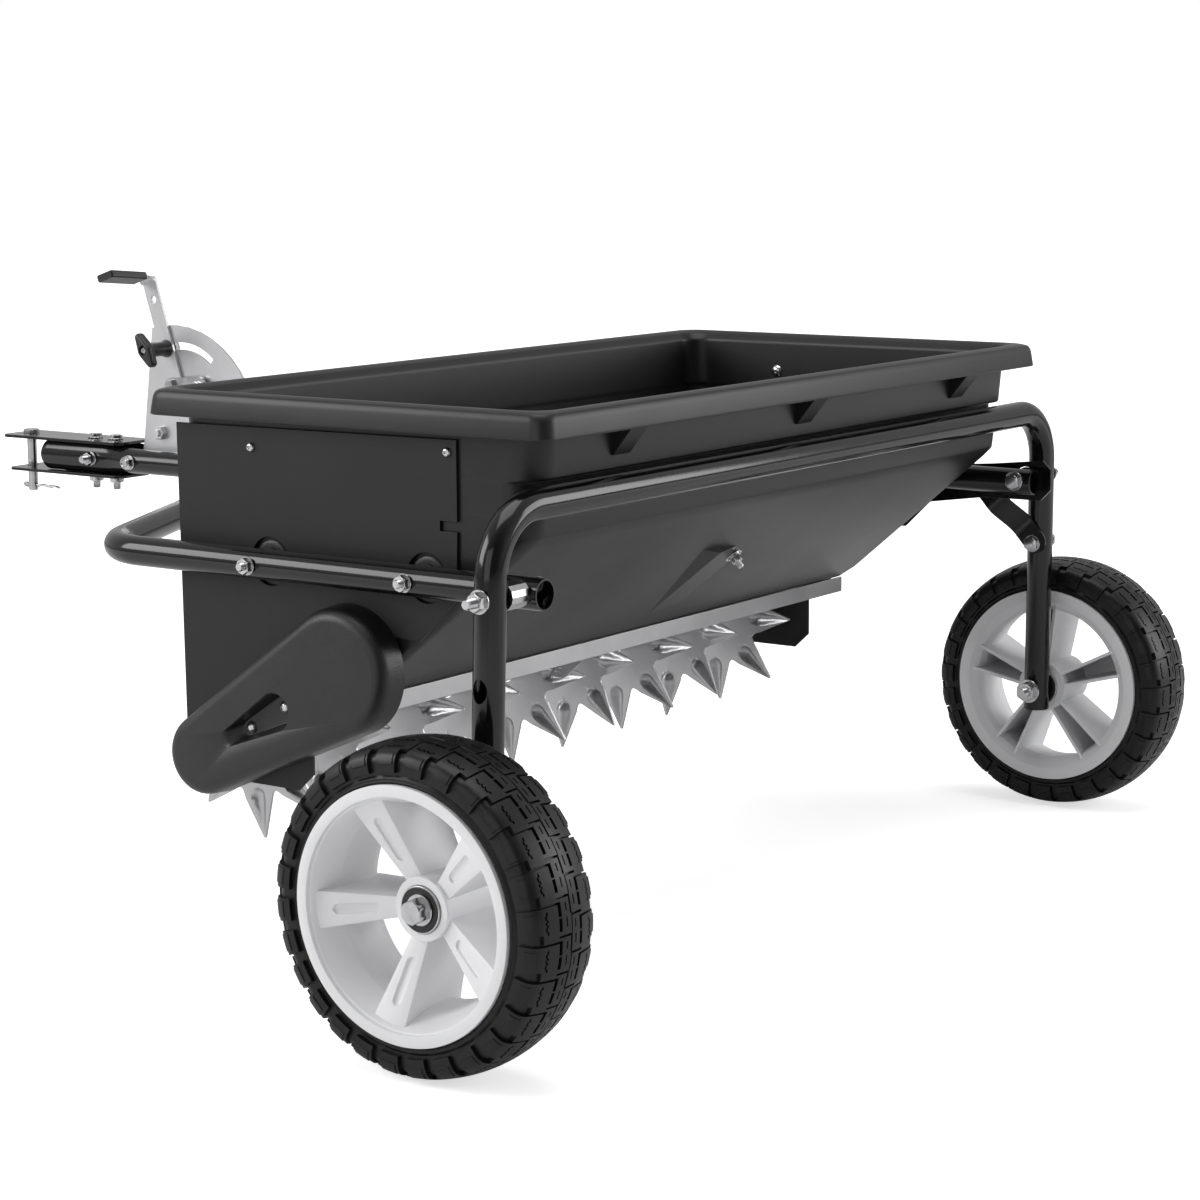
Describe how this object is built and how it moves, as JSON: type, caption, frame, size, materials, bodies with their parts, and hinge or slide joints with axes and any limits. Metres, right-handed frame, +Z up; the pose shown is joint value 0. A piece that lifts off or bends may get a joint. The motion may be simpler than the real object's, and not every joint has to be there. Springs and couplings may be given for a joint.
{
  "type": "tow-behind drop spreader",
  "caption": "Tow-behind drop spreader: long hopper with a lever-worked sliding gate, chain-driven agitator, spiked aerator reel, spoked wheels and a pin hitch.",
  "frame": {"origin": "on the floor, in the middle of the bounding box", "axes": "+Y points forward to the hitch, +X to the machine's right side, +Z up"},
  "size_m": [1.122, 1.093, 0.5548],
  "materials": {
    "black_steel": "glossy black powder coat",
    "black_plastic": "satin moulded plastic",
    "cover_plastic": "grained moulded plastic",
    "galvanised_steel": "galvanised sheet",
    "zinc_steel": "bright zinc plating",
    "white_plastic": "white moulded plastic",
    "tyre_rubber": "black rubber"
  },
  "bodies": {
    "frame": {"hopper_trough": "black_plastic", "end_plate_left": "black_steel", "end_plate_right": "black_steel", "frame_tube_left": "black_steel", "frame_tube_right": "black_steel", "wheel_frame_tube": "black_steel", "wheel_frame_spacer_left": "zinc_steel", "wheel_frame_spacer_right": "zinc_steel", "wheel_frame_bolt_left": "zinc_steel", "wheel_frame_bolt_right": "zinc_steel", "arm_bolt_rear_left": "zinc_steel", "arm_bolt_front_left": "zinc_steel", "arm_bolt_rear_right": "zinc_steel", "arm_bolt_front_right": "zinc_steel", "lock_bracket_plate": "black_steel", "lock_brace": "black_steel", "lock_brace_bolt": "zinc_steel", "bottom_channel": "galvanised_steel", "chain_cover": "cover_plastic", "drive_chain": "zinc_steel", "reel_bush_left": "black_plastic", "reel_bush_right": "black_plastic", "axle_bolt_left": "zinc_steel", "axle_bolt_right": "zinc_steel", "lever_quadrant": "zinc_steel", "lever_pivot_bolt": "zinc_steel", "hitch_plate_upper": "black_steel", "hitch_plate_lower": "black_steel", "hitch_plate_bolt_rear": "zinc_steel", "hitch_plate_bolt_front": "zinc_steel", "drawbar_bolt_rear": "zinc_steel", "drawbar_bolt_front": "zinc_steel"},
    "wheel_left": {"tyre_left": "tyre_rubber", "wheel_rim_left": "white_plastic", "hub_bush_left": "zinc_steel"},
    "wheel_right": {"tyre_right": "tyre_rubber", "wheel_rim_right": "white_plastic", "hub_bush_right": "zinc_steel"},
    "spiker_reel": {"reel_shaft": "zinc_steel", "reel_sprocket": "zinc_steel", "spike_disc_1": "galvanised_steel", "spike_disc_2": "galvanised_steel", "spike_disc_3": "galvanised_steel", "spike_disc_4": "galvanised_steel", "spike_disc_5": "galvanised_steel", "spike_disc_6": "galvanised_steel", "spike_disc_7": "galvanised_steel", "spike_disc_8": "galvanised_steel", "spike_disc_9": "galvanised_steel"},
    "agitator": {"agitator_shaft": "galvanised_steel", "agitator_sprocket": "zinc_steel"},
    "lever": {"control_lever": "zinc_steel", "lever_grip": "black_plastic", "knob_stud": "zinc_steel", "lever_link_bolt": "zinc_steel"},
    "lever_knob": {"wing_knob": "black_plastic"},
    "rod": {"control_rod": "zinc_steel"},
    "gate": {"shutter_gate": "galvanised_steel"},
    "hitch_pin_body": {"hitch_pin": "zinc_steel"},
    "clip": {"hairpin_clip": "zinc_steel"}
  },
  "joints": [
    {"name": "wheel_left_spin", "type": "hinge", "parent": "frame", "child": "wheel_left", "pos_m": [-0.5225, -0.4195, 0.127], "axis": [1, 0, 0], "continuous": true},
    {"name": "wheel_right_spin", "type": "hinge", "parent": "frame", "child": "wheel_right", "pos_m": [0.5225, -0.4195, 0.127], "axis": [1, 0, 0], "continuous": true},
    {"name": "reel_spin", "type": "hinge", "parent": "frame", "child": "spiker_reel", "pos_m": [0, -0.1075, 0.189], "axis": [1, 0, 0], "continuous": true},
    {"name": "agitator_spin", "type": "hinge", "parent": "frame", "child": "agitator", "pos_m": [0, -0.2235, 0.262], "axis": [1, 0, 0], "continuous": true},
    {"name": "lever_swing", "type": "hinge", "parent": "frame", "child": "lever", "pos_m": [0, 0.3068, 0.416], "axis": [1, 0, 0], "range_deg": [0, 55]},
    {"name": "knob_turn", "type": "hinge", "parent": "lever", "child": "lever_knob", "pos_m": [-0.0221, 0.32543, 0.47335], "axis": [1, 0, 0], "continuous": true},
    {"name": "rod_swing", "type": "hinge", "parent": "lever", "child": "rod", "pos_m": [0, 0.3171, 0.43712], "axis": [1, 0, 0], "range_deg": [-56, 0]},
    {"name": "gate_slide", "type": "slide", "parent": "frame", "child": "gate", "axis": [0, 1, 0], "range_m": [-0.023, 0]},
    {"name": "hitch_pin_lift", "type": "slide", "parent": "frame", "child": "hitch_pin_body", "axis": [0, 0, 1], "range_m": [0, 0.015]},
    {"name": "clip_pull", "type": "slide", "parent": "hitch_pin_body", "child": "clip", "axis": [0, 1, 0], "range_m": [0, 0.045]}
  ],
  "couplings": [
    {"joint": "agitator_spin", "follows": "reel_spin", "ratio": 0.55},
    {"joint": "rod_swing", "follows": "lever_swing", "ratio": -1.0011},
    {"joint": "gate_slide", "follows": "lever_swing", "m_per_rad": -0.022862}
  ]
}
